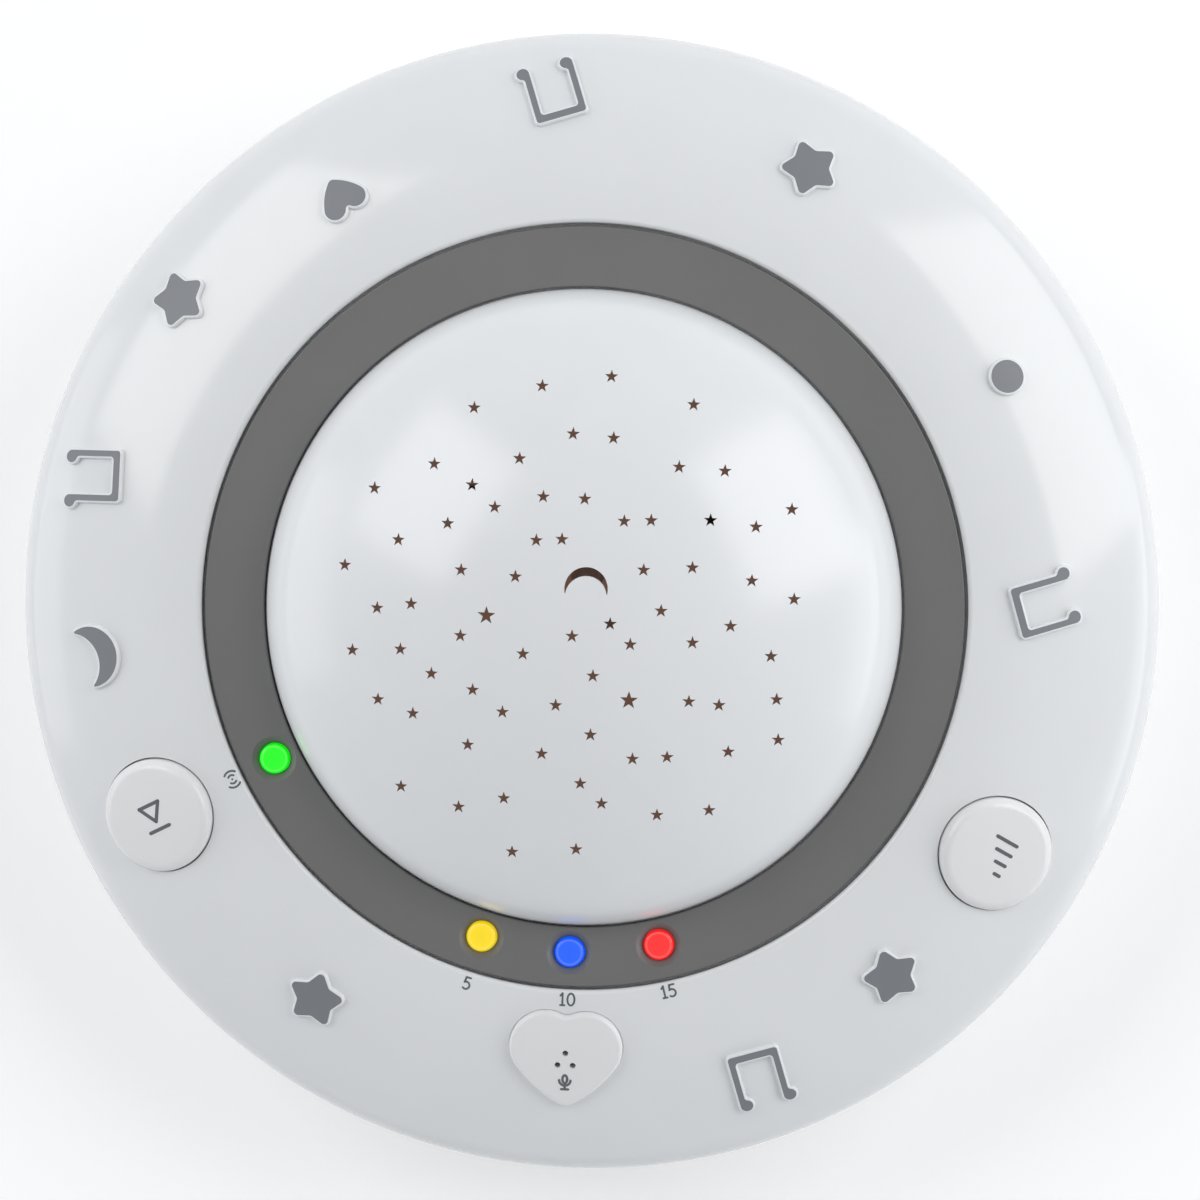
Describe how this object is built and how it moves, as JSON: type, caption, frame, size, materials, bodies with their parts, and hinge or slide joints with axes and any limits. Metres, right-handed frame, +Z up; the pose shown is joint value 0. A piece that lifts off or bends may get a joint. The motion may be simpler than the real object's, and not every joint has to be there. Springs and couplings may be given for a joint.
{
  "type": "star night light projector",
  "caption": "Round table-top night light with a star-pierced dome, grey trim ring with indicator lamps, two push buttons and a heart-shaped microphone cover.",
  "frame": {"origin": "on the round shell's axis at the level of the feet's undersides", "axes": "+Z up through the dome, -Y towards the heart-shaped microphone cover, +X towards the volume button's side"},
  "size_m": [0.1894, 0.1894, 0.062],
  "materials": {
    "shell_white": "glossy moulded ABS, pale grey-white",
    "dome_white": "glossy moulded ABS, white, dark inside",
    "cover_white": "glossy moulded ABS, white",
    "button_white": "satin-gloss moulded ABS, white",
    "ring_grey": "satin mid-grey ABS with a very fine speckle",
    "rubber_grey": "matt grey rubber",
    "rubber_black": "matt black rubber",
    "foam_black": "black foam",
    "lamp_green": "tinted lamp lens, lit",
    "lamp_yellow": "tinted lamp lens, lit",
    "lamp_blue": "tinted lamp lens, lit",
    "lamp_red": "tinted lamp lens, lit",
    "lamp_clear": "water-clear lamp lens",
    "board_brown": "brown phenolic paper laminate",
    "chip_black": "matt black epoxy",
    "capacitor_sleeve": "dark shrink sleeve",
    "socket_ivory": "natural nylon",
    "switch_black": "black nylon",
    "screw_steel": "zinc-plated steel",
    "contact_nickel": "nickel-plated spring steel",
    "speaker_steel": "black-painted pressed steel",
    "magnet_steel": "zinc-plated steel can round a ferrite magnet",
    "speaker_paper": "black pressed paper",
    "cell_jacket": "plain shrink jacket",
    "capsule_aluminium": "drawn aluminium can",
    "lead_sleeve": "PVC-insulated stranded lead"
  },
  "bodies": {
    "root": {"upper_housing": "shell_white", "lower_housing": "shell_white", "trim_ring": "ring_grey", "star_dome": "dome_white", "mic_cover": "cover_white", "rubber_feet": "rubber_grey", "mod_switch_body": "switch_black", "vol_switch_body": "switch_black", "mod_switch_board": "board_brown", "vol_switch_board": "board_brown", "switch_board_screws": "screw_steel", "main_board": "board_brown", "timer_lamp_5": "lamp_yellow", "timer_lamp_10": "lamp_blue", "timer_lamp_15": "lamp_red", "voice_lamp": "lamp_green", "projection_lamps": "lamp_clear", "controller_chip": "chip_black", "capacitors": "capacitor_sleeve", "lead_sockets": "socket_ivory", "board_screws": "screw_steel", "ring_screws": "screw_steel", "speaker_gasket": "foam_black", "speaker_frame": "speaker_steel", "speaker_cone": "speaker_paper", "speaker_magnet": "magnet_steel", "speaker_screws": "screw_steel", "battery_1": "cell_jacket", "battery_2": "cell_jacket", "battery_3": "cell_jacket", "battery_springs": "contact_nickel", "battery_contacts": "contact_nickel", "power_switch_body": "contact_nickel", "power_switch_screws": "screw_steel", "housing_screws": "screw_steel", "mic_capsule": "capsule_aluminium", "mic_boot": "rubber_black", "mod_lead": "lead_sleeve", "vol_lead": "lead_sleeve", "mic_lead": "lead_sleeve", "speaker_lead": "lead_sleeve", "power_lead": "lead_sleeve", "battery_leads": "lead_sleeve"},
    "mod_button": {"mod_button": "button_white", "mod_switch_plunger": "switch_black"},
    "vol_button": {"vol_button": "button_white", "vol_switch_plunger": "switch_black"},
    "battery_door": {"battery_door": "shell_white", "door_screw": "screw_steel"},
    "power_slider": {"power_slider": "switch_black"}
  },
  "joints": [
    {"name": "mod_press", "type": "slide", "parent": "root", "child": "mod_button", "axis": [0.2721, 0.1478, -0.9508], "range_m": [0, 0.0008], "stiffness_N_per_m": 1500, "springref_m": -0.0003},
    {"name": "vol_press", "type": "slide", "parent": "root", "child": "vol_button", "axis": [-0.2721, 0.1478, -0.9508], "range_m": [0, 0.0008], "stiffness_N_per_m": 1500, "springref_m": -0.0003},
    {"name": "power_slide", "type": "slide", "parent": "root", "child": "power_slider", "axis": [0, 1, 0], "range_m": [0, 0.003]},
    {"name": "door_hinge", "type": "hinge", "parent": "root", "child": "battery_door", "pos_m": [0, -0.00665, 0.0015], "axis": [1, 0, 0], "range_deg": [0, 60]}
  ]
}
